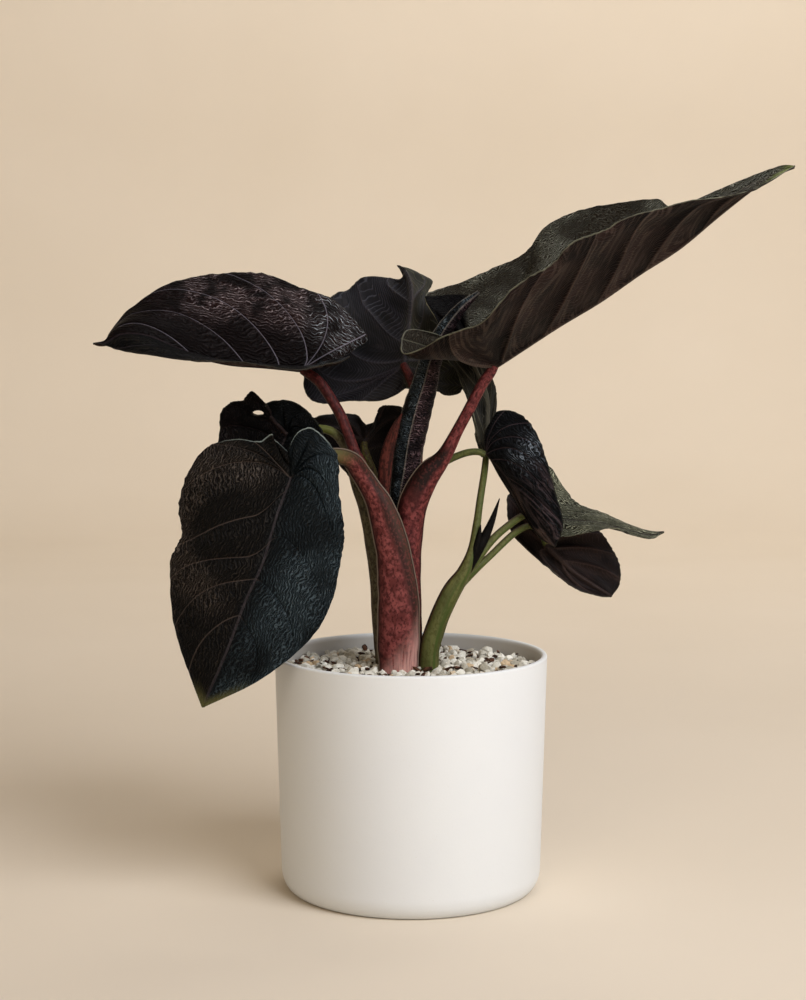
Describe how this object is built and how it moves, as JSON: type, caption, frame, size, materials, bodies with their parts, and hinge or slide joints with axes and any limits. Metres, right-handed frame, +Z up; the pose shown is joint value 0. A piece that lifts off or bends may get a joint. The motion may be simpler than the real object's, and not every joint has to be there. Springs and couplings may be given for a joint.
{
  "type": "potted elephant ear",
  "caption": "Dark leaved elephant ear with heart shaped blades on red and olive stalks, in a plain white cylindrical pot topped with pumice grit.",
  "frame": {"origin": "middle of the pot's flat foot, where it stands", "axes": "+Z up along the pot's axis, +X to the picture's right, -Y towards the picture's viewer"},
  "size_m": [0.3821, 0.15, 0.3977],
  "materials": {
    "pot_white": "matte",
    "bark_mix": "matte",
    "pumice": "matte",
    "leaf_black": "satin",
    "leaf_brown": "satin",
    "leaf_green": "satin",
    "stalk_red": "satin",
    "stalk_olive": "satin",
    "stalk_green": "satin"
  },
  "bodies": {
    "root": {"pot": "pot_white", "potting_mix": "bark_mix", "pumice": "pumice", "blade_left": "leaf_black", "blade_right": "leaf_brown", "blade_back": "leaf_black", "blade_front": "leaf_black", "blade_behind_front": "leaf_black", "blade_low_back": "leaf_black", "blade_strip": "leaf_green", "blade_folded": "leaf_black", "blade_curled": "leaf_green", "blade_lowest": "leaf_brown", "young_leaf": "leaf_black", "sheath_spike": "stalk_red", "stalk_front": "stalk_red", "stalk_left": "stalk_red", "stalk_right": "stalk_red", "stalk_back": "stalk_red", "stalk_behind_front": "stalk_olive", "stalk_low_back": "stalk_olive", "stalk_folded": "stalk_green", "side_shoot": "stalk_green"}
  },
  "joints": []
}
